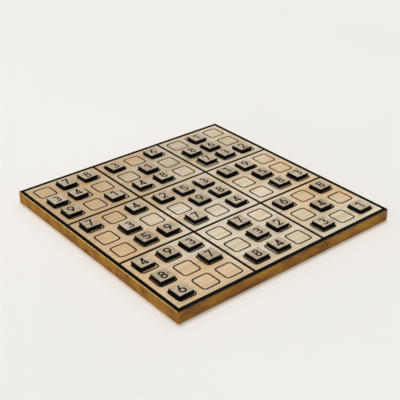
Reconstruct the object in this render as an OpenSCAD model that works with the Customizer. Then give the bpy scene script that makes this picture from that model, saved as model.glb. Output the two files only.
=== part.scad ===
// Sudoku board: a veneered square board with inlaid line work and loose number tiles.
// The board lies in the XY plane. Puzzle columns count along +X, row 1 is at +Y, and +Z is up.
// The origin is the centre of the underside, and all sizes are in millimetres.

/* [Board] */
// Side of the square board
board_side = 250; // [180:1:320]
// Thickness of the whole board, with both veneers
board_thick = 12; // [8:0.5:20]
// Thickness of the veneer on each face
veneer_thick = 0.6; // [0.5:0.05:1]
// Radius of the four upright corners
corner_r = 1; // [0.9:0.1:3]
// Width of the eased edge round the top and round the underside
edge_ease = 0.3; // [0.2:0.05:0.45]

/* [Line work] */
// Bare veneer left between the eased edge and the frame line
rim_w = 0.1; // [0.1:0.05:0.3]
// Width of the frame line round the play face
border_w = 3.6; // [1:0.1:6]
// Width of the lines between the nine blocks
block_line_w = 2.3; // [0.6:0.1:4]
// Width of the thin outline round each cell
outline_w = 1.2; // [0.4:0.05:1.5]
// Radius of an outline's corners, at its outer edge
outline_r = 3.5; // [1.8:0.1:4.5]
// How deep the line work is let into the veneer
ink_depth = 0.2; // [0.1:0.05:0.4]

/* [Cells] */
// Gap between two outlines of one block
cell_gap = 6.2; // [3:0.1:9]
// Gap between a block's outer outlines and the line round the block
cell_margin = 5.3; // [3:0.1:8]

/* [Tiles] */
// Thickness of a tile
tile_thick = 4.3; // [2:0.1:8]
// Room on each side of a tile within its outline
tile_clear = 0.8; // [0.3:0.05:2]
// Width of the eased edge round the top of a tile
tile_ease = 0.25; // [0.1:0.05:0.6]

/* [Hidden] */
$fn = 48;
// Blocks along a side, and cells along a side of a block
per_side = 3;
// How far a cut runs past the face that it opens
overrun = 0.5;

core_thick = board_thick - 2 * veneer_thick;
face_z = board_thick - veneer_thick;
ink_z = board_thick - ink_depth;

// The play field lies inside the frame line, and its blocks are equal between their lines
border_outer = board_side - 2 * (edge_ease + rim_w);
border_r = corner_r - edge_ease - rim_w;
field_side = border_outer - 2 * border_w;
block_pitch = (field_side + block_line_w) / per_side;
block_clear = block_pitch - block_line_w;

// Three outlines, two gaps and two margins fill a block
cell_side = (block_clear - 2 * cell_margin - (per_side - 1) * cell_gap) / per_side;
cell_pitch = cell_side + cell_gap;
cell_inner = cell_side - 2 * outline_w;
tile_side = cell_inner - 2 * tile_clear;

board_color = [0.55, 0.38, 0.19];
veneer_color = [0.87, 0.77, 0.62];
ink_color = [0.08, 0.08, 0.08];
outline_color = [0.2, 0.15, 0.12];
tile_color = [0.74, 0.68, 0.6];

// One entry for each tile: its row and column, how far it lies off the middle of its cell
// to the right and up the board, as shares of tile_clear, and its turn in degrees
tile_place_shares = [
    [1, 2, -1.25, -1, 1],
    [1, 3, -2.75, -1.25, 3],
    [1, 4, -1.75, -3.25, 3],
    [1, 6, -3, -1.5, 1.5],
    [1, 8, -1.25, -4.25, 1.5],
    [2, 1, -1.5, -0.25, -1],
    [2, 2, -4.25, -0.5, 2],
    [2, 5, -1.75, -1, 0],
    [2, 7, -0.5, 0.25, 1.5],
    [2, 8, -2, -2.25, 1],
    [3, 1, -1.25, 0, -1],
    [3, 3, -4.25, -1, 1.5],
    [3, 4, -1.75, 0.5, -1.5],
    [3, 5, -1, -0.25, -1],
    [3, 7, 1, 1.5, 0.5],
    [3, 8, -0.5, 0.25, 0.5],
    [3, 9, -3.25, -1, 1],
    [4, 1, -1, 0.5, -2],
    [4, 3, -1.25, -0.25, 0.5],
    [4, 4, -1.25, -2, -1.5],
    [4, 5, -2.25, -3.5, -1.5],
    [4, 6, -3, -4.5, 1.5],
    [4, 7, -1.5, -1, 2],
    [4, 8, -3, -2.25, -1],
    [5, 2, -0.5, -0.25, -1.5],
    [5, 5, -2, -2.25, 2],
    [5, 6, -2, -2.25, -0.5],
    [5, 8, -1, -0.25, 1],
    [6, 2, -0.5, 0, 1],
    [6, 3, -1.25, -0.5, 0],
    [6, 4, 0, 0.25, -1],
    [6, 6, -2, -1, 1.5],
    [6, 8, 0.25, 0.5, -0.5],
    [6, 9, -0.25, 0.25, 1],
    [7, 1, -1.25, 1.25, 1],
    [7, 2, -0.5, 0, -1.5],
    [7, 3, -1, 0, 0.5],
    [7, 5, -0.5, 0.25, 1],
    [7, 7, -3.25, -1.25, 1.5],
    [7, 9, -1.75, -0.25, 1],
    [8, 1, -0.5, -0.5, -1],
    [8, 3, -0.25, -0.5, -1],
    [8, 5, -0.5, 0.5, 0.5],
    [8, 6, -1.75, 0, 0],
    [8, 8, -2.75, -1, -1],
    [9, 1, -1.25, -0.5, 0.5],
    [9, 4, -0.25, -0.5, -0.5],
    [9, 5, 0.5, -0.25, -1],
    [9, 7, 0, -0.5, 0.5],
    [9, 9, -2.25, -1.5, -0.5]
];

function tile_name(place) = str("tile_r", place[0], "c", place[1]);

// Distance of the cells in line n, counted from 1, from the middle of the board
function cell_at(n) =
    (floor((n - 1) / per_side) - (per_side - 1) / 2) * block_pitch
    + ((n - 1) % per_side - (per_side - 1) / 2) * cell_pitch;

// Square with round corners, centred
module round_square(side, r) {
    square([side, side - 2 * r], center = true);
    square([side - 2 * r, side], center = true);
    for (x = [-1, 1], y = [-1, 1])
        translate([x, y] * (side / 2 - r))
            circle(r);
}

// Corners of a sheet's outer edge, from its underside up over the eased edge
function eased_edge(reach, thick, ease) = [[reach, 0], [reach, thick - ease], [reach - ease, thick]];

// Bar with eased top edges on its two long sides, lying along Y
module eased_bar(side, length, thick, ease) {
    edge = eased_edge(side / 2, thick, ease);
    far_edge = [for (i = [len(edge) - 1 : -1 : 0]) [-edge[i].x, edge[i].y]];
    rotate([90, 0, 0])
        linear_extrude(length, center = true)
            polygon(concat(edge, far_edge));
}

// Square sheet with round upright corners and an eased edge round its top
module eased_sheet(side, thick, r, ease) {
    for (quarter = [0, 90])
        rotate(quarter)
            eased_bar(side, side - 2 * r, thick, ease);
    for (x = [-1, 1], y = [-1, 1])
        translate([x, y, 0] * (side / 2 - r))
            rotate_extrude()
                polygon(concat([[0, 0]], eased_edge(r, thick, ease), [[0, thick]]));
}

// Flat shapes of the line work
module border_shape() {
    difference() {
        round_square(border_outer, border_r);
        square(field_side, center = true);
    }
}

module block_line_shape() {
    for (quarter = [0, 90], line = [-1, 1])
        rotate(quarter)
            translate([line * block_pitch / 2, 0])
                square([block_line_w, field_side], center = true);
}

module outline_shape() {
    difference() {
        round_square(cell_side, outline_r);
        round_square(cell_inner, outline_r - outline_w);
    }
}

module outline_shapes() {
    for (column = [1 : per_side * per_side], row = [1 : per_side * per_side])
        translate([cell_at(column), -cell_at(row)])
            outline_shape();
}

// Line work let in flush with the play face
module ink(depth) {
    translate([0, 0, ink_z])
        linear_extrude(depth)
            children();
}

module board_core() {
    color(board_color)
        translate([0, 0, veneer_thick])
            linear_extrude(core_thick)
                round_square(board_side, corner_r);
}

module face_veneer() {
    color(veneer_color)
        difference() {
            translate([0, 0, face_z])
                eased_sheet(board_side, veneer_thick, corner_r, edge_ease);
            ink(ink_depth + overrun) {
                border_shape();
                block_line_shape();
                outline_shapes();
            }
        }
}

module back_veneer() {
    color(veneer_color)
        translate([0, 0, veneer_thick])
            mirror([0, 0, 1])
                eased_sheet(board_side, veneer_thick, corner_r, edge_ease);
}

module border_line() {
    color(ink_color)
        ink(ink_depth)
            border_shape();
}

module block_lines() {
    color(ink_color)
        ink(ink_depth)
            block_line_shape();
}

module cell_outlines() {
    color(outline_color)
        ink(ink_depth)
            outline_shapes();
}

// Loose tile, lying on the play face over its cell
module tile(place) {
    off = [place[2], place[3]] * tile_clear;
    color(tile_color)
        translate([cell_at(place[1]) + off.x, -cell_at(place[0]) + off.y, board_thick])
            rotate(place[4])
                intersection_for(quarter = [0, 90])
                    rotate(quarter)
                        eased_bar(tile_side, tile_side, tile_thick, tile_ease);
}

board_core();
face_veneer();
back_veneer();
border_line();
block_lines();
cell_outlines();
for (place = tile_place_shares)
    tile(place);
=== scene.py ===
"""Looks of a wooden sudoku board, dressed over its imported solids.

The board is a fibreboard panel with a pale veneer on both faces. A black frame line and block
lines part its nine blocks, a thin round-cornered outline marks each cell, and loose tiles with
printed numerals lie on the cells. Lengths are in metres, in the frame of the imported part: the
puzzle's rows run along +X, its first row is at +Y, and +Z is up.
"""

import logging
import math
from dataclasses import dataclass, field
from enum import Enum

import bpy
from mathutils import Matrix, Vector
from mathutils.geometry import delaunay_2d_cdt


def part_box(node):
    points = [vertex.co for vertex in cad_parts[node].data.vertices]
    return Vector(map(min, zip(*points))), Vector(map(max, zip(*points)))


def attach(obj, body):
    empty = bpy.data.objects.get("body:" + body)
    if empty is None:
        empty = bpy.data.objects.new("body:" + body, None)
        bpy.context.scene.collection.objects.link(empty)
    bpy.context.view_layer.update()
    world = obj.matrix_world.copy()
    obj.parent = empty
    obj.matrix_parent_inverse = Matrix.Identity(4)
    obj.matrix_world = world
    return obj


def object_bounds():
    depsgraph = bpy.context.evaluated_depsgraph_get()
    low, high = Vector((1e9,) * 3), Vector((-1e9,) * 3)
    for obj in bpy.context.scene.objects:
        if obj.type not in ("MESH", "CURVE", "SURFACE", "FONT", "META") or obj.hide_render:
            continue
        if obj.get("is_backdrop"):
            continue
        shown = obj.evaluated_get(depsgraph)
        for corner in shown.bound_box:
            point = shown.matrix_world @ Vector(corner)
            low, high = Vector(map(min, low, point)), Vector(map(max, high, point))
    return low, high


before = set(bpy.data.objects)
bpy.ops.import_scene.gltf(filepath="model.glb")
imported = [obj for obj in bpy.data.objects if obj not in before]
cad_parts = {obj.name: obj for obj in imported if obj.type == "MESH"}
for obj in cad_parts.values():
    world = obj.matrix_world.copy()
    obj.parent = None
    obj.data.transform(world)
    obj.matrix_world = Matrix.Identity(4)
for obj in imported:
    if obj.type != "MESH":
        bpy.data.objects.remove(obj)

LOG = logging.getLogger("sudoku_board")
MM = 0.001

# Turns in degrees
QUARTER_TURN = 90.0
HALF_TURN = 180.0
FULL_TURN = 360.0

# Sockets of a mix node that take and give colours
MIX_UNDER = 6
MIX_OVER = 7
MIX_RESULT = 2

Socket = bpy.types.NodeSocket
Flat = tuple[float, float] | Vector
Triangle = tuple[int, int, int]


@dataclass(frozen=True)
class ScreenCurve:
    """How a screen's steps follow the light that they stand for."""

    steps: int = 255
    foot: float = 0.04045
    slope: float = 12.92
    shift: float = 0.055
    power: float = 2.4

    def light(self, step: int) -> float:
        """Takes the curve off one step.

        Args:
            step: the step on screen.

        Returns:
            The light that it stands for, from 0 to 1.
        """
        share = step / self.steps
        if share <= self.foot:
            return share / self.slope
        return ((share + self.shift) / (1 + self.shift)) ** self.power


SCREEN = ScreenCurve()


@dataclass(frozen=True)
class Tone:
    """A colour as it looks on screen, in steps from 0 to 255."""

    red: int
    green: int
    blue: int

    def linear(self) -> tuple[float, float, float, float]:
        """The colour as a shader takes it."""
        return (*(SCREEN.light(step) for step in (self.red, self.green, self.blue)), 1.0)


WHITE = Tone(255, 255, 255)
BACKDROP = Tone(241, 239, 235)
Tones = tuple[tuple[float, Tone], ...]


@dataclass(frozen=True)
class Figure:
    """A mottled figure, by the size of its marks in metres along X and across it."""

    along: float
    across: float
    detail: float = 2.0
    rough: float = 0.5
    seed: float = 0.0

    def scale(self) -> tuple[float, float, float]:
        """Marks in a metre along X, Y and Z."""
        return (1 / self.along, 1 / self.across, 1 / self.across)


@dataclass(frozen=True)
class Span:
    """A soft step: it starts at low and stops at high, and runs from one result to the other."""

    low: float
    high: float
    start: float = 0.0
    end: float = 1.0


FLAT_FACE = Span(0.8, 0.95)
FIGURE_MIDDLE = 0.5


class Blend(Enum):
    """How one colour goes over another."""

    COVER = "MIX"
    SHADE = "MULTIPLY"


class NodeBench:
    """Puts the nodes of one material or world together."""

    def __init__(self, owner: bpy.types.Material | bpy.types.World) -> None:
        """Starts with an empty tree.

        Args:
            owner: the material or world that the nodes belong to.
        """
        owner.use_nodes = True
        self.owner = owner
        self.tree = owner.node_tree
        self.tree.nodes.clear()

    def add(self, kind: str, **options: object) -> bpy.types.Node:
        """Adds a node.

        Args:
            kind: the node's type.
            options: the node's own settings.

        Returns:
            The new node.
        """
        node = self.tree.nodes.new(kind)
        for option, value in options.items():
            setattr(node, option, value)
        return node

    def feed(self, socket: Socket, value: object) -> None:
        """Links a socket to another one, or sets it to a plain value.

        Args:
            socket: the input to feed.
            value: an output socket, a Tone, or a number or vector.
        """
        if isinstance(value, Socket):
            self.tree.links.new(value, socket)
        elif isinstance(value, Tone):
            socket.default_value = value.linear()
        else:
            socket.default_value = value

    def place(self) -> Socket:
        """Where a point lies on its piece, in metres."""
        return self.add("ShaderNodeTexCoord").outputs["Object"]

    def part(self, vector: Socket, axis: str) -> Socket:
        """Takes one part of a vector.

        Args:
            vector: the vector.
            axis: X, Y or Z.

        Returns:
            The socket with its part along that axis.
        """
        parts = self.add("ShaderNodeSeparateXYZ")
        self.feed(parts.inputs[0], vector)
        return parts.outputs[axis]

    def facing(self, axis: str) -> Socket:
        """How far a surface faces along an axis, from -1 to 1."""
        return self.part(self.add("ShaderNodeNewGeometry").outputs["True Normal"], axis)

    def level(self) -> Socket:
        """How level a surface lies: 1 on a flat face and 0 on an upright side."""
        return self.maths("ABSOLUTE", self.facing("Z"))

    def chance(self) -> Socket:
        """A number from 0 to 1 that differs from piece to piece."""
        return self.add("ShaderNodeObjectInfo").outputs["Random"]

    def maths(self, operation: str, first: object, second: object = 0.0) -> Socket:
        """Works out one number from two.

        Args:
            operation: what to do with them.
            first: a number or socket.
            second: a number or socket.

        Returns:
            The socket with the result.
        """
        node = self.add("ShaderNodeMath", operation=operation)
        self.feed(node.inputs[0], first)
        self.feed(node.inputs[1], second)
        return node.outputs[0]

    def mottle(self, place: Socket, figure: Figure) -> Socket:
        """Spreads a mottled figure over the piece.

        Args:
            place: the points to spread it by.
            figure: the size and make of its marks.

        Returns:
            A socket that runs from about 0.25 to 0.75.
        """
        stretch = self.add("ShaderNodeVectorMath", operation="MULTIPLY_ADD")
        self.feed(stretch.inputs[0], place)
        self.feed(stretch.inputs[1], figure.scale())
        self.feed(stretch.inputs[2], (figure.seed, figure.seed, figure.seed))
        noise = self.add("ShaderNodeTexNoise")
        self.feed(noise.inputs["Vector"], stretch.outputs[0])
        noise.inputs["Scale"].default_value = 1.0
        noise.inputs["Detail"].default_value = figure.detail
        noise.inputs["Roughness"].default_value = figure.rough
        return noise.outputs["Fac"]

    def bend(self, place: Socket, figure: Figure, reach: float) -> Socket:
        """Lets the grain wander sideways.

        Args:
            place: the points to move.
            figure: how often the grain turns.
            reach: how far it wanders, in metres.

        Returns:
            The moved points.
        """
        swing = self.maths("SUBTRACT", self.mottle(place, figure), FIGURE_MIDDLE)
        sideways = self.add("ShaderNodeCombineXYZ")
        self.feed(sideways.inputs["Y"], self.maths("MULTIPLY", swing, reach))
        moved = self.add("ShaderNodeVectorMath", operation="ADD")
        self.feed(moved.inputs[0], place)
        self.feed(moved.inputs[1], sideways.outputs[0])
        return moved.outputs[0]

    def fade(self, value: Socket, span: Span) -> Socket:
        """Runs softly from one number to another.

        Args:
            value: what drives it.
            span: where it changes, and its results.

        Returns:
            The socket with the result.
        """
        node = self.add("ShaderNodeMapRange", interpolation_type="SMOOTHSTEP")
        self.feed(node.inputs["Value"], value)
        node.inputs["From Min"].default_value = span.low
        node.inputs["From Max"].default_value = span.high
        node.inputs["To Min"].default_value = span.start
        node.inputs["To Max"].default_value = span.end
        return node.outputs["Result"]

    def ramp(self, value: Socket, tones: Tones) -> Socket:
        """Turns a number into a colour.

        Args:
            value: the number.
            tones: the tones and where they lie, in order.

        Returns:
            The socket with the colour.
        """
        node = self.add("ShaderNodeValToRGB")
        self.feed(node.inputs[0], value)
        elements = node.color_ramp.elements
        while len(elements) < len(tones):
            elements.new(1.0)
        for element, (position, tone) in zip(elements, tones):
            element.position = position
            element.color = tone.linear()
        return node.outputs["Color"]

    def mix(self, share: object, under: object, over: object, blend: Blend = Blend.COVER) -> Socket:
        """Lays one colour over another.

        Args:
            share: how much of the upper colour shows.
            under: the lower colour.
            over: the upper colour.
            blend: how it goes over.

        Returns:
            The socket with the colour.
        """
        node = self.add("ShaderNodeMix", data_type="RGBA", blend_type=blend.value)
        self.feed(node.inputs[0], share)
        self.feed(node.inputs[MIX_UNDER], under)
        self.feed(node.inputs[MIX_OVER], over)
        return node.outputs[MIX_RESULT]

    def shade(self, under: object, value: Socket, tones: Tones) -> Socket:
        """Darkens a colour by a figure.

        Args:
            under: the colour.
            value: the figure.
            tones: what the colour is multiplied by, and where.

        Returns:
            The socket with the colour.
        """
        return self.mix(1.0, under, self.ramp(value, tones), Blend.SHADE)

    def relief(self, height: Socket, depth: float) -> Socket:
        """Turns a figure into fine relief.

        Args:
            height: the figure.
            depth: how deep it is, in metres.

        Returns:
            The socket for a shader's normal.
        """
        node = self.add("ShaderNodeBump")
        node.inputs["Distance"].default_value = depth
        self.feed(node.inputs["Height"], height)
        return node.outputs["Normal"]

    def surface(self, colour: object, rough: object, relief: Socket, gloss: float) -> Socket:
        """Makes the shader of a surface.

        Args:
            colour: its colour.
            rough: its roughness.
            relief: its fine relief.
            gloss: how strongly it reflects, where 0.5 is plain lacquer.

        Returns:
            The shader's socket.
        """
        shader = self.add("ShaderNodeBsdfPrincipled")
        self.feed(shader.inputs["Base Color"], colour)
        self.feed(shader.inputs["Roughness"], rough)
        self.feed(shader.inputs["Normal"], relief)
        shader.inputs["Specular IOR Level"].default_value = gloss
        return shader.outputs[0]

    def seen(self) -> Socket:
        """Parts looking at a surface from taking light from it.

        Returns:
            A socket that is 1 where it is seen, in a reflection or through glass too, and else 0.
        """
        path = self.add("ShaderNodeLightPath").outputs
        either = self.maths("MAXIMUM", path["Is Camera Ray"], path["Is Glossy Ray"])
        return self.maths("MAXIMUM", either, path["Is Transmission Ray"])

    def choose(self, share: Socket, first: Socket, second: Socket) -> Socket:
        """Mixes two shaders.

        Args:
            share: how much of the second one shows.
            first: one shader.
            second: the other.

        Returns:
            The mixed shader's socket.
        """
        node = self.add("ShaderNodeMixShader")
        for socket, value in zip(node.inputs, (share, first, second)):
            self.feed(socket, value)
        return node.outputs[0]

    def end(self, shader: Socket) -> bpy.types.Material | bpy.types.World:
        """Ends the tree in its shader.

        Args:
            shader: the shader that the output takes.

        Returns:
            The finished material or world.
        """
        kind = "World" if isinstance(self.owner, bpy.types.World) else "Material"
        output = self.add("ShaderNodeOutput" + kind)
        self.feed(output.inputs["Surface"], shader)
        return self.owner


@dataclass(frozen=True)
class LineWork:
    """Where the line work lies on the play face, in metres from the middle of the board.

    The block lines have more ink than the outlines, so theirs has run a little further.
    """

    per_side: int = 3
    block_line: float = 2.3 * MM
    block_run: float = 0.15 * MM
    outline: float = 1.2 * MM
    corner: float = 3.5 * MM
    cell_gap: float = 6.2 * MM

    def fold(self, bench: NodeBench, value: Socket, pitch: float) -> Socket:
        """Brings a place in one of the equal fields along a side into the middle one.

        Args:
            bench: where the nodes go.
            value: the place.
            pitch: from the middle of one field to the next.

        Returns:
            The socket with the place in the middle field.
        """
        last = (self.per_side - 1) / 2
        step = bench.maths("ROUND", bench.maths("DIVIDE", value, pitch))
        step = bench.maths("MAXIMUM", bench.maths("MINIMUM", step, last), -last)
        return bench.maths("SUBTRACT", value, bench.maths("MULTIPLY", step, pitch))

    def gap(self, bench: NodeBench, place: Socket) -> Socket:
        """Measures how far a point of the face lies from the nearest line.

        The last cell ends one block, one gap, and a cell and a half from the middle of the board.

        Args:
            bench: where the nodes go.
            place: the point.

        Returns:
            The socket with the distance, in metres.
        """
        field_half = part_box("block_lines")[1].x
        block_pitch = (2 * field_half + self.block_line) / self.per_side
        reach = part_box("cell_outlines")[1].x
        cell = (reach - block_pitch - self.cell_gap) * 2 / self.per_side
        gaps, squares = [], []
        for axis in ("X", "Y"):
            across = bench.part(place, axis)
            off_middle = bench.maths("ABSOLUTE", across)
            gaps.append(bench.maths("SUBTRACT", field_half, off_middle))
            off_line = bench.maths("ABSOLUTE", bench.maths("SUBTRACT", off_middle, block_pitch / 2))
            gaps.append(bench.maths("SUBTRACT", off_line, self.block_line / 2 + self.block_run))
            spot = self.fold(bench, self.fold(bench, across, block_pitch), cell + self.cell_gap)
            past = bench.maths("SUBTRACT", bench.maths("ABSOLUTE", spot), cell / 2 - self.corner)
            past = bench.maths("MAXIMUM", past, 0.0)
            squares.append(bench.maths("MULTIPLY", past, past))
        ring = bench.maths("SQRT", bench.maths("ADD", *squares))
        ring = bench.maths("SUBTRACT", ring, self.corner - self.outline / 2)
        nearest = bench.maths("SUBTRACT", bench.maths("ABSOLUTE", ring), self.outline / 2)
        for gap in gaps:
            nearest = bench.maths("MINIMUM", nearest, gap)
        return nearest


@dataclass(frozen=True)
class VeneerFinish:
    """Pale veneer with straight grain, tan streaks, a golden eased edge and a broad painted shade,
    under satin lacquer.

    Beside the line work, the ink has soaked a little into the grain, and the eased edge along the
    front, facing -Y, is near-black.
    """

    name: str
    line_work: LineWork | None = None
    gloss: float = 0.25
    depth: float = 0.03 * MM
    wander: Figure = Figure(0.14, 0.11, 1.0, 0.4, 3.1)
    wander_reach: float = 7 * MM
    bands: Figure = Figure(0.22, 0.02, 3.0, 0.55, 19.1)
    band_tones: Tones = (
        (0.32, Tone(205, 189, 158)), (0.5, Tone(221, 210, 187)), (0.68, Tone(232, 225, 210)))
    blushes: Figure = Figure(0.15, 0.1, 1.0, 0.5, 38.5)
    blush_span: Span = Span(0.4, 0.62, 0.0, 0.9)
    blush: Tone = Tone(219, 190, 150)
    # Painted shade: a broad mottled darkening across the face, for the lamp's light falling off
    # across the board.
    painted_falloff: Figure = Figure(0.4, 0.3, 1.0, 0.5, 3.0)
    painted_falloff_tones: Tones = ((0.36, Tone(235, 232, 228)), (0.58, WHITE))
    lines: Figure = Figure(0.045, 0.0011, 4.0, 0.6, 7.3)
    line_tones: Tones = ((0.3, Tone(226, 214, 199)), (0.6, WHITE))
    line_rough: Span = Span(0.3, 0.7, 0.5, 0.38)
    zones: Figure = Figure(0.075, 0.06, 2.0, 0.5, 35.0)
    zone_span: Span = Span(0.38, 0.6)
    streaks: Figure = Figure(0.03, 0.0017, 4.0, 0.62, 4.9)
    streak_span: Span = Span(0.49, 0.68, 0.0, 0.85)
    streak: Tone = Tone(217, 158, 80)
    pores: Figure = Figure(0.005, 0.0003, 1.0, 0.5, 5.5)
    pore_span: Span = Span(0.66, 0.74, 0.0, 0.4)
    pore: Tone = Tone(168, 132, 92)
    soak_edge: Span = Span(0.35, 0.65, -0.12 * MM, 0.12 * MM)
    soak_span: Span = Span(0.0, 0.65 * MM, 0.75, 0.0)
    soak: Tone = Tone(74, 54, 36)
    # Near-black tone on the eased edge that faces -Y, along the front.
    front_edge_span: Span = Span(-0.5, -0.2, 1.0, 0.0)
    run: Tone = Tone(14, 13, 13)
    edge_tones: Tones = ((0.4, Tone(218, 176, 80)), (0.6, Tone(234, 194, 106)))

    def wood(self, bench: NodeBench, place: Socket, bands: Socket, lines: Socket) -> Socket:
        """Works out the colour of the flat wood.

        Args:
            bench: where the nodes go.
            place: the points along the wandering grain.
            bands: the grain's broad bands.
            lines: its fine lines.

        Returns:
            The socket with the colour.
        """
        wood = bench.ramp(bands, self.band_tones)
        blush = bench.fade(bench.mottle(place, self.blushes), self.blush_span)
        wood = bench.mix(blush, wood, self.blush)
        # Painted shade for the lamp's falloff across the board.
        wood = bench.shade(wood, bench.mottle(place, self.painted_falloff), self.painted_falloff_tones)
        wood = bench.shade(wood, lines, self.line_tones)
        zones = bench.fade(bench.mottle(place, self.zones), self.zone_span)
        streaks = bench.fade(bench.mottle(place, self.streaks), self.streak_span)
        wood = bench.mix(bench.maths("MULTIPLY", streaks, zones), wood, self.streak)
        pores = bench.fade(bench.mottle(place, self.pores), self.pore_span)
        return bench.mix(pores, wood, self.pore)

    def material(self) -> bpy.types.Material:
        """Puts the veneer's faces and edges together.

        Returns:
            The veneer as a material.
        """
        bench = NodeBench(bpy.data.materials.new(self.name))
        spot = bench.place()
        place = bench.bend(spot, self.wander, self.wander_reach)
        bands = bench.mottle(place, self.bands)
        lines = bench.mottle(place, self.lines)
        wood = self.wood(bench, place, bands, lines)
        level = bench.level()
        edge = bench.shade(bench.ramp(level, self.edge_tones), bands, self.line_tones)
        if self.line_work:
            # The eased edge that faces -Y, along the front, is near-black.
            edge = bench.mix(bench.fade(bench.facing("Y"), self.front_edge_span), edge, self.run)
            gap = self.line_work.gap(bench, spot)
            gap = bench.maths("ADD", gap, bench.fade(lines, self.soak_edge))
            wood = bench.mix(bench.fade(gap, self.soak_span), wood, self.soak)
        wood = bench.mix(bench.fade(level, FLAT_FACE), edge, wood)
        rough = bench.fade(lines, self.line_rough)
        return bench.end(bench.surface(wood, rough, bench.relief(lines, self.depth), self.gloss))


@dataclass(frozen=True)
class FibreboardFinish:
    """Sanded fibreboard edge: ochre, with brown mottling, fine fibres, dark flecks and painted
    shade towards the underside.
    """

    name: str = "core_fibreboard"
    gloss: float = 0.12
    depth: float = 0.06 * MM
    clouds: Figure = Figure(0.03, 0.012, 3.0, 0.6, 19.3)
    cloud_tones: Tones = (
        (0.3, Tone(122, 76, 38)), (0.5, Tone(166, 118, 44)), (0.7, Tone(190, 142, 50)))
    # Painted shade: the edge is darkened towards the underside, where less light reaches it.
    painted_foot_shade_tones: Tones = ((0.1, Tone(240, 231, 225)), (0.75, WHITE))
    fibres: Figure = Figure(0.0016, 0.0007, 3.0, 0.65, 6.4)
    fibre_span: Span = Span(0.45, 0.7, 0.0, 0.4)
    fibre_rough: Span = Span(0.3, 0.7, 0.55, 0.7)
    fibre: Tone = Tone(118, 74, 26)
    flecks: Figure = Figure(0.0024, 0.0013, 1.0, 0.5, 8.8)
    fleck_span: Span = Span(0.66, 0.74, 0.0, 0.6)
    fleck: Tone = Tone(88, 52, 22)

    def material(self) -> bpy.types.Material:
        """Puts the sanded edge together.

        Returns:
            The edge as a material.
        """
        bench = NodeBench(bpy.data.materials.new(self.name))
        place = bench.place()
        low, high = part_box("board_core")
        climb = bench.maths("SUBTRACT", bench.part(place, "Z"), low.z)
        climb = bench.maths("DIVIDE", climb, high.z - low.z)
        board = bench.ramp(bench.mottle(place, self.clouds), self.cloud_tones)
        # Painted shade, darker towards the underside.
        board = bench.shade(board, climb, self.painted_foot_shade_tones)
        fibres = bench.mottle(place, self.fibres)
        board = bench.mix(bench.fade(fibres, self.fibre_span), board, self.fibre)
        flecks = bench.fade(bench.mottle(place, self.flecks), self.fleck_span)
        board = bench.mix(flecks, board, self.fleck)
        rough = bench.fade(fibres, self.fibre_rough)
        return bench.end(bench.surface(board, rough, bench.relief(fibres, self.depth), self.gloss))


@dataclass(frozen=True)
class InkFinish:
    """Matt print, a little thinner here and there, so that the wood warms it."""

    name: str
    full: Tone
    thin: Tone
    gloss: float = 0.02
    depth: float = 0.01 * MM
    cover: Figure = Figure(0.006, 0.004, 3.0, 0.6, 1.3)
    cover_span: Span = Span(0.42, 0.74)
    tooth: Figure = Figure(0.0009, 0.0004, 2.0, 0.5, 2.7)
    tooth_span: Span = Span(0.55, 0.75, 0.0, 0.35)
    tooth_rough: Span = Span(0.3, 0.7, 0.6, 0.75)

    def material(self) -> bpy.types.Material:
        """Puts the print together.

        Returns:
            The print as a material.
        """
        bench = NodeBench(bpy.data.materials.new(self.name))
        place = bench.place()
        cover = bench.fade(bench.mottle(place, self.cover), self.cover_span)
        ink = bench.mix(cover, self.full, self.thin)
        tooth = bench.mottle(place, self.tooth)
        ink = bench.mix(bench.fade(tooth, self.tooth_span), ink, self.thin)
        rough = bench.fade(tooth, self.tooth_rough)
        return bench.end(bench.surface(ink, rough, bench.relief(tooth, self.depth), self.gloss))


@dataclass(frozen=True)
class TileFinish:
    """Bare pale tile faces with fine grain, and black sides a little worn along their edges."""

    name: str = "tile_wood"
    gloss: float = 0.05
    depth: float = 0.02 * MM
    bands: Figure = Figure(0.05, 0.005, 3.0, 0.55, 14.2)
    band_tones: Tones = (
        (0.32, Tone(186, 171, 149)), (0.5, Tone(205, 191, 170)), (0.68, Tone(218, 206, 187)))
    lines: Figure = Figure(0.012, 0.00045, 3.0, 0.6, 17.9)
    line_tones: Tones = ((0.32, Tone(214, 204, 192)), (0.6, WHITE))
    line_rough: Span = Span(0.3, 0.7, 0.56, 0.44)
    batch_tones: Tones = ((0.0, Tone(230, 226, 220)), (1.0, WHITE))
    stain: Tone = Tone(6, 10, 13)
    scuffs: Figure = Figure(0.003, 0.001, 2.0, 0.6, 11.4)
    scuff_span: Span = Span(0.55, 0.75)
    scuff: Tone = Tone(16, 18, 20)
    edge_span: Span = Span(0.3, 0.6)
    rubs: Figure = Figure(0.004, 0.004, 2.0, 0.5, 21.3)
    rub_span: Span = Span(0.52, 0.66, 0.0, 0.6)
    rub: Tone = Tone(96, 80, 62)

    def material(self) -> bpy.types.Material:
        """Puts the tile's faces and sides together.

        Returns:
            Both as one material.
        """
        bench = NodeBench(bpy.data.materials.new(self.name))
        place = bench.place()
        lines = bench.mottle(place, self.lines)
        wood = bench.ramp(bench.mottle(place, self.bands), self.band_tones)
        wood = bench.shade(wood, lines, self.line_tones)
        wood = bench.shade(wood, bench.chance(), self.batch_tones)
        scuffs = bench.fade(bench.mottle(place, self.scuffs), self.scuff_span)
        stain = bench.mix(scuffs, self.stain, self.scuff)
        level = bench.level()
        rubs = bench.fade(bench.mottle(place, self.rubs), self.rub_span)
        rubs = bench.maths("MULTIPLY", rubs, bench.fade(level, self.edge_span))
        stain = bench.mix(rubs, stain, self.rub)
        colour = bench.mix(bench.fade(level, FLAT_FACE), stain, wood)
        rough = bench.fade(lines, self.line_rough)
        return bench.end(bench.surface(colour, rough, bench.relief(lines, self.depth), self.gloss))


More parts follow.
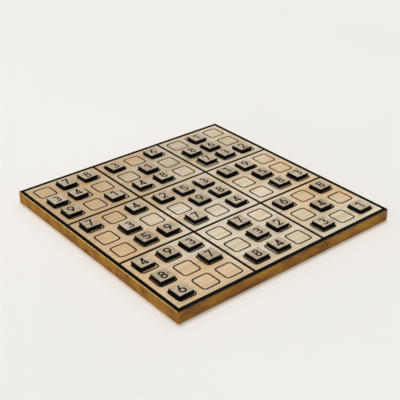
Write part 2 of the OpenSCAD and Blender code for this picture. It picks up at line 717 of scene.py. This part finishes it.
@dataclass(frozen=True)
class FloorFinish:
    """Plain pale floor with a faint cloudiness, which runs into the backdrop far from the board."""

    name: str = "studio_floor"
    gloss: float = 0.1
    roughness: float = 0.9
    depth: float = 0.01 * MM
    clouds: Figure = Figure(0.5, 0.5, 2.0, 0.5, 0.4)
    cloud_tones: Tones = ((0.3, Tone(238, 237, 235)), (0.7, Tone(242, 241, 240)))
    tooth: Figure = Figure(0.004, 0.004, 1.0, 0.5, 0.8)
    far_span: Span = Span(0.25, 1.2)

    def material(self) -> bpy.types.Material:
        """Puts the floor together.

        Returns:
            The floor as a material.
        """
        bench = NodeBench(bpy.data.materials.new(self.name))
        place = bench.place()
        colour = bench.ramp(bench.mottle(place, self.clouds), self.cloud_tones)
        relief = bench.relief(bench.mottle(place, self.tooth), self.depth)
        near = bench.surface(colour, self.roughness, relief, self.gloss)
        far = bench.add("ShaderNodeEmission")
        bench.feed(far.inputs["Color"], BACKDROP)
        reach = bench.add("ShaderNodeVectorMath", operation="LENGTH")
        bench.feed(reach.inputs[0], place)
        share = bench.fade(reach.outputs["Value"], self.far_span)
        share = bench.maths("MULTIPLY", share, bench.seen())
        return bench.end(bench.choose(share, near, far.outputs[0]))


def enter(thing: bpy.types.Object) -> None:
    """Puts an object into the scene."""
    bpy.context.scene.collection.objects.link(thing)


def dress(piece: bpy.types.Object, material: bpy.types.Material) -> None:
    """Gives a piece one material all over.

    Args:
        piece: the piece.
        material: its finish.
    """
    piece.data.materials.clear()
    piece.data.materials.append(material)
    LOG.info("dressed %s in %s", piece.name, material.name)


@dataclass
class Board:
    """The panel: a core between two veneers, and the line work in its face."""

    core: FibreboardFinish = FibreboardFinish()
    face: VeneerFinish = VeneerFinish("face_wood", LineWork())
    back: VeneerFinish = VeneerFinish("back_wood")
    line_ink: InkFinish = InkFinish("line_ink", Tone(5, 6, 8), Tone(13, 13, 14))
    outline_ink: InkFinish = InkFinish("outline_ink", Tone(8, 8, 9), Tone(19, 17, 16))

    def build(self) -> None:
        """Dresses the panel's pieces."""
        line_ink = self.line_ink.material()
        finishes = {
            "board_core": self.core.material(),
            "face_veneer": self.face.material(),
            "back_veneer": self.back.material(),
            "border_line": line_ink,
            "block_lines": line_ink,
            "cell_outlines": self.outline_ink.material(),
        }
        for node, material in finishes.items():
            dress(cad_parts[node], material)


@dataclass(frozen=True)
class NumeralStyle:
    """Proportions of plain round numerals of even stroke.

    Lengths are shares of the numeral's height. Angles are in degrees, anticlockwise from the
    right, and a lean is measured from the upright.
    """

    stroke: float = 0.15
    half_width: float = 0.31
    bowl: float = 0.25
    head: float = 0.2
    stem: float = 0.13
    arc_step: float = 9.0
    one_stem: float = 0.09
    flag_lean: float = 48.0
    flag_length: float = 0.38
    two_slope: float = 42.0
    two_hook: float = 172.0
    three_hook: float = 155.0
    three_tail: float = -158.0
    three_waist: float = 0.08
    four_lean: float = 24.0
    four_bar: float = 0.24
    five_tail: float = -150.0
    five_join: float = 142.0
    five_lean: float = 4.0
    six_lean: float = 30.0
    seven_lean: float = 20.0


class Cut(Enum):
    """How a stroke ends."""

    SQUARE = "square"
    LEVEL = "level"


class NumeralPen:
    """Draws numerals one unit high, with their foot at zero and their middle at x = 0."""

    weld: float = 1e-5
    middle: Vector = Vector((0, 0.5))

    def __init__(self, style: NumeralStyle) -> None:
        """Starts with a clean sheet.

        Args:
            style: the numerals' proportions.
        """
        self.style = style
        self.reach = style.stroke / 2
        self.low = self.reach
        self.high = 1 - self.reach
        self.patches: list[list[Vector]] = []

    @staticmethod
    def spoke(angle: float) -> Vector:
        """The direction at an angle in degrees."""
        return Vector((math.cos(math.radians(angle)), math.sin(math.radians(angle))))

    def level_half(self, lean: float) -> float:
        """Half of the level width of a stroke that leans by some degrees."""
        return self.reach / math.cos(math.radians(lean))

    def bar(self, start: Flat, end: Flat,
            start_cut: Cut = Cut.SQUARE, end_cut: Cut = Cut.SQUARE) -> None:
        """Draws a straight stroke.

        Args:
            start: the middle of one end.
            end: the middle of the other.
            start_cut: how it ends there.
            end_cut: how it ends at the other.
        """
        first, last = Vector(start), Vector(end)
        run = (last - first).normalized()
        side = Vector((-run.y, run.x)) * self.reach
        patch = [first - side, last - side, last + side, first + side]
        for corner, (middle, cut) in enumerate(
                ((first, start_cut), (last, end_cut), (last, end_cut), (first, start_cut))):
            if cut is Cut.LEVEL:
                patch[corner] += run * ((middle.y - patch[corner].y) / run.y)
        self.patches.append(patch)

    def bow(self, centre: Flat, radius: float, start: float, end: float) -> None:
        """Draws part of a ring.

        Args:
            centre: the ring's middle.
            radius: from there to the middle of the stroke.
            start: the angle where it starts, in degrees.
            end: the angle where it ends, anticlockwise from there.
        """
        steps = math.ceil((end - start) / self.style.arc_step)
        spokes = [self.spoke(start + (end - start) * step / steps) for step in range(steps + 1)]
        inner, outer = radius - self.reach, radius + self.reach
        middle = Vector(centre)
        for a, b in zip(spokes, spokes[1:]):
            self.patches.append(
                [middle + a * inner, middle + a * outer, middle + b * outer, middle + b * inner])

    @staticmethod
    def rise(foot: Vector, lean: float, height: float) -> Vector:
        """Finds where a line that leans to the right from a point reaches a height.

        Args:
            foot: the point.
            lean: how far the line leans, in degrees.
            height: the height to reach.

        Returns:
            The point at that height.
        """
        return foot + Vector((math.tan(math.radians(lean)), 1)) * (height - foot.y)

    def one(self) -> None:
        """A stem with a short flag."""
        stem, lean = self.style.one_stem, self.style.flag_lean
        self.bar((stem, 0), (stem, 1))
        tip = Vector((stem + self.reach - self.level_half(lean), 1))
        start = tip - self.spoke(QUARTER_TURN - lean) * self.style.flag_length
        self.bar(start, tip, end_cut=Cut.LEVEL)

    def two(self) -> None:
        """An arch, a straight slope and a flat base."""
        radius, slope = self.style.bowl, self.style.two_slope
        centre = Vector((0, self.high - radius))
        self.bow(centre, radius, -slope, self.style.two_hook)
        leave = centre + self.spoke(-slope) * radius
        self.bar(leave, self.rise(leave, slope, self.low))
        self.bar((-self.style.half_width, self.low), (self.style.half_width, self.low))

    def three(self) -> None:
        """Two arcs that meet at the waist."""
        head = self.style.head
        bowl = (self.high - self.low) / 2 - head
        waist = self.high - 2 * head
        self.bow((0, self.high - head), head, -QUARTER_TURN, self.style.three_hook)
        self.bow((0, self.low + bowl), bowl, self.style.three_tail, QUARTER_TURN)
        self.bar((-self.style.three_waist, waist), (0, waist))

    def four(self) -> None:
        """A full stem, a slope and a crossbar."""
        stem, cross, lean = self.style.stem, self.style.four_bar, self.style.four_lean
        half = self.level_half(lean)
        top = Vector((stem + self.reach - half, 1))
        foot = self.rise(top, lean, cross - self.reach)
        self.bar((stem, 0), (stem, 1))
        self.bar(foot, top, Cut.LEVEL, Cut.LEVEL)
        self.bar((foot.x - half, cross), (self.style.half_width, cross))

    def five(self) -> None:
        """A top bar, a near-upright back and a round bowl."""
        radius = self.style.bowl
        centre = Vector((0, self.low + radius))
        start = centre + self.spoke(self.style.five_join) * radius
        top = self.rise(start, self.style.five_lean, 1)
        self.bow(centre, radius, self.style.five_tail, self.style.five_join)
        self.bar(start, top, end_cut=Cut.LEVEL)
        self.bar((top.x - self.level_half(self.style.five_lean), self.high), (radius, self.high))

    def six(self) -> None:
        """A ring with a straight slope that leaves it like a tangent."""
        radius, lean = self.style.bowl, self.style.six_lean
        centre = Vector((0, self.low + radius))
        leave = centre + self.spoke(HALF_TURN - lean) * radius
        self.bow(centre, radius, 0, FULL_TURN)
        self.bar(leave, self.rise(leave, lean, 1), end_cut=Cut.LEVEL)

    def seven(self) -> None:
        """A top bar and a straight slope."""
        wide, lean = self.style.half_width, self.style.seven_lean
        top = Vector((wide - self.level_half(lean), 1))
        self.bar((-wide, self.high), (wide, self.high))
        self.bar(self.rise(top, lean, 0), top, Cut.LEVEL, Cut.LEVEL)

    def eight(self) -> None:
        """A small ring on a larger one."""
        head = self.style.head
        bowl = (self.high - self.low) / 2 - head
        self.bow((0, self.high - head), head, 0, FULL_TURN)
        self.bow((0, self.low + bowl), bowl, 0, FULL_TURN)

    def nine(self) -> None:
        """A six turned half round."""
        self.six()
        self.patches = [[Vector((-p.x, 1 - p.y)) for p in patch] for patch in self.patches]

    def draw(self, digit: str) -> tuple[list[Vector], list[Triangle]]:
        """Draws one numeral and joins its strokes into one flat shape.

        Args:
            digit: the numeral, from 1 to 9.

        Returns:
            The shape's points, and its triangles as rows of point numbers.
        """
        strokes = (self.one, self.two, self.three, self.four, self.five,
                   self.six, self.seven, self.eight, self.nine)
        self.patches = []
        strokes[int(digit) - 1]()
        corners: list[Vector] = []
        faces: list[list[int]] = []
        for patch in self.patches:
            faces.append(list(range(len(corners), len(corners) + len(patch))))
            corners.extend(patch)
        points, _, cells, *_ = delaunay_2d_cdt(corners, [], faces, 0, self.weld)
        inked = [tuple(cell) for cell in cells if self.covers([points[corner] for corner in cell])]
        return points, inked

    def covers(self, triangle: list[Vector]) -> bool:
        """Tells whether a triangle is inked.

        Args:
            triangle: its corners.

        Returns:
            True where its middle lies in one of the strokes' patches.
        """
        middle = sum(triangle, Vector((0, 0))) / len(triangle)
        return any(
            all((b - a).cross(middle - a) > 0 for a, b in zip(patch, patch[1:] + patch[:1]))
            for patch in self.patches)


def flat_solid(name: str, points: list[Vector], cells: list[Triangle],
               low: float, high: float) -> bpy.types.Object:
    """Makes a thin closed solid from a flat shape.

    Args:
        name: the piece's name.
        points: the shape's points.
        cells: its triangles, all anticlockwise.
        low: height of the underside.
        high: height of the top.

    Returns:
        The new piece.
    """
    count = len(points)
    edges = {(cell[k - 1], cell[k]) for cell in cells for k in range(len(cell))}
    rim = sorted(edge for edge in edges if edge[::-1] not in edges)
    walls = [(a + count, b + count, b, a) for a, b in rim]
    under = [tuple(corner + count for corner in reversed(cell)) for cell in cells]
    vertices = [(p.x, p.y, z) for z in (high, low) for p in points]
    mesh = bpy.data.meshes.new(name)
    mesh.from_pydata(vertices, [], [*cells, *under, *walls])
    mesh.validate()
    piece = bpy.data.objects.new(name, mesh)
    enter(piece)
    return piece


@dataclass
class TileSet:
    """The loose tiles, each with its numeral printed on its top."""

    puzzle: tuple[str, ...] = (
        ".783.6.1.",
        "34..1.86.",
        "9.148.732",
        "7.425319.",
        ".3..98.5.",
        ".597.4.83",
        "493.7.6.8",
        "8.7.32.4.",
        "6..84.3.1",
    )
    finish: TileFinish = TileFinish()
    print_ink: InkFinish = InkFinish("numeral_ink", Tone(13, 17, 18), Tone(26, 31, 31))
    style: NumeralStyle = NumeralStyle()
    height_share: float = 0.71
    print_rise: float = 0.04 * MM
    print_root: float = 0.02 * MM
    pieces: list[bpy.types.Object] = field(default_factory=list)

    def build(self) -> None:
        """Dresses every tile and prints its numeral."""
        wood = self.finish.material()
        ink = self.print_ink.material()
        pen = NumeralPen(self.style)
        for row, text in enumerate(self.puzzle, 1):
            for column, digit in enumerate(text, 1):
                if digit == ".":
                    continue
                node = f"tile_r{row}c{column}"
                dress(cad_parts[node], wood)
                numeral = self.print_numeral(node, pen, digit)
                dress(numeral, ink)
                self.pieces.append(numeral)

    def print_numeral(self, node: str, pen: NumeralPen, digit: str) -> bpy.types.Object:
        """Prints a numeral on a tile.

        Args:
            node: the tile's node.
            pen: what draws the numeral.
            digit: the numeral.

        Returns:
            The printed numeral, riding on its tile.
        """
        low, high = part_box(node)
        middle = (low + high) / 2
        turn, side = self.lie_of(node)
        height = side * self.height_share
        points, cells = pen.draw(digit)
        sized = [(point - pen.middle) * height for point in points]
        name = node.replace("tile", "numeral")
        numeral = flat_solid(name, sized, cells, -self.print_root, self.print_rise)
        place = Matrix.Translation((middle.x, middle.y, high.z))
        numeral.matrix_world = place @ Matrix.Rotation(turn, 4, "Z")
        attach(numeral, node)
        return numeral

    @staticmethod
    def lie_of(node: str) -> tuple[float, float]:
        """Finds out how a tile lies.

        Args:
            node: the tile's node.

        Returns:
            Its turn about the upright in radians, and the length of its side.
        """
        corners = [vertex.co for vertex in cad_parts[node].data.vertices]
        left = min(corners, key=lambda corner: corner.x + corner.y)
        right = max(corners, key=lambda corner: corner.x - corner.y)
        front = right.xy - left.xy
        return math.atan2(front.y, front.x), front.length


@dataclass(frozen=True)
class Lamp:
    """A far, soft lamp that lights the board and the floor evenly. Its angles are in degrees."""

    azimuth: float
    elevation: float
    spread: float
    level: float
    tone: Tone

    def strength(self) -> float:
        """Strength that lights a white card on the board to the lamp's level."""
        return self.level * math.pi / math.sin(math.radians(self.elevation))


class LampRole(Enum):
    """The studio's lamps. Azimuth 0 stands at -Y, and 90 at +X."""

    OVERHEAD = Lamp(155, 77, 20, 0.45, Tone(255, 254, 252))
    REAR = Lamp(125, 40, 46, 0.05, Tone(255, 252, 247))
    LEFT = Lamp(-66, 41, 30, 0.22, Tone(255, 250, 240))


@dataclass
class Studio:
    """Floor, daylight, lamps and the camera."""

    azimuth: float = -39.5
    elevation: float = 29.6
    distance: float = 0.805
    margin: float = 1.06
    floor_half: float = 4.0
    floor_drop: float = 0.05 * MM
    daylight: float = 0.28
    floor: FloorFinish = FloorFinish()

    @staticmethod
    def towards(azimuth: float, elevation: float) -> Vector:
        """Points from the board to a place in the studio.

        Args:
            azimuth: degrees round the board.
            elevation: degrees above the floor.

        Returns:
            The unit direction.
        """
        turn, rise = math.radians(azimuth), math.radians(elevation)
        level = math.cos(rise)
        return Vector((math.sin(turn) * level, -math.cos(turn) * level, math.sin(rise)))

    def build(self, low: Vector, high: Vector) -> None:
        """Sets the studio up round the board.

        Args:
            low: lowest corner of the board's box.
            high: highest corner.
        """
        aim = Vector(((low.x + high.x) / 2, (low.y + high.y) / 2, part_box("face_veneer")[1].z))
        self.lay_floor(low.z)
        self.let_daylight_in()
        for role in LampRole:
            self.hang(role)
        self.set_camera(aim, low, high)

    def lay_floor(self, height: float) -> None:
        """Lays the floor under the board.

        Args:
            height: where the board's underside is.
        """
        half = self.floor_half
        corners = [(-half, -half), (half, -half), (half, half), (-half, half)]
        mesh = bpy.data.meshes.new("studio_floor")
        mesh.from_pydata([(x, y, height - self.floor_drop) for x, y in corners], [], [(0, 1, 2, 3)])
        sheet = bpy.data.objects.new("studio_floor", mesh)
        enter(sheet)
        dress(sheet, self.floor.material())
        sheet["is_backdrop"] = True

    def let_daylight_in(self) -> None:
        """Lights the studio evenly, and shows a pale backdrop behind it."""
        bench = NodeBench(bpy.data.worlds.new("studio_daylight"))
        light = bench.add("ShaderNodeBackground")
        bench.feed(light.inputs["Color"], WHITE)
        bench.feed(light.inputs["Strength"], self.daylight)
        backdrop = bench.add("ShaderNodeBackground")
        bench.feed(backdrop.inputs["Color"], BACKDROP)
        shown = bench.choose(bench.seen(), light.outputs[0], backdrop.outputs[0])
        bpy.context.scene.world = bench.end(shown)

    def hang(self, role: LampRole) -> None:
        """Hangs one lamp.

        Args:
            role: which lamp.
        """
        lamp = role.value
        light = bpy.data.lights.new(role.name.lower() + "_lamp", "SUN")
        light.angle = math.radians(lamp.spread)
        light.energy = lamp.strength()
        light.color = lamp.tone.linear()[:3]
        hung = bpy.data.objects.new(light.name, light)
        ray = -self.towards(lamp.azimuth, lamp.elevation)
        hung.rotation_mode = "QUATERNION"
        hung.rotation_quaternion = ray.to_track_quat("-Z", "Y")
        enter(hung)
        LOG.info("hung %s", hung.name)

    def set_camera(self, aim: Vector, low: Vector, high: Vector) -> None:
        """Sets the camera so that the whole board fills the frame.

        Args:
            aim: the point that it looks at.
            low: lowest corner of the board's box.
            high: highest corner.
        """
        back = self.towards(self.azimuth, self.elevation)
        camera = bpy.data.objects.new("camera", bpy.data.cameras.new("camera"))
        camera.location = aim + back * self.distance
        camera.rotation_mode = "QUATERNION"
        camera.rotation_quaternion = (-back).to_track_quat("-Z", "Y")
        enter(camera)
        bpy.context.scene.camera = camera
        into_view = camera.rotation_quaternion.inverted()
        reach = 0.0
        for x in (low.x, high.x):
            for y in (low.y, high.y):
                for z in (low.z, high.z):
                    seen = into_view @ (Vector((x, y, z)) - camera.location)
                    reach = max(reach, abs(seen.x / seen.z), abs(seen.y / seen.z))
        camera.data.lens = camera.data.sensor_width / 2 / (reach * self.margin)
        LOG.info("camera lens %.1f mm", camera.data.lens)


def main() -> None:
    """Dresses the board and its tiles, and sets up the studio."""
    logging.basicConfig(level=logging.INFO, format="%(name)s: %(message)s")
    low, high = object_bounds()
    bpy.context.scene.view_settings.view_transform = "Standard"
    Board().build()
    tiles = TileSet()
    tiles.build()
    LOG.info("printed %d numerals", len(tiles.pieces))
    Studio().build(low, high)


if __name__ == "__main__":
    main()
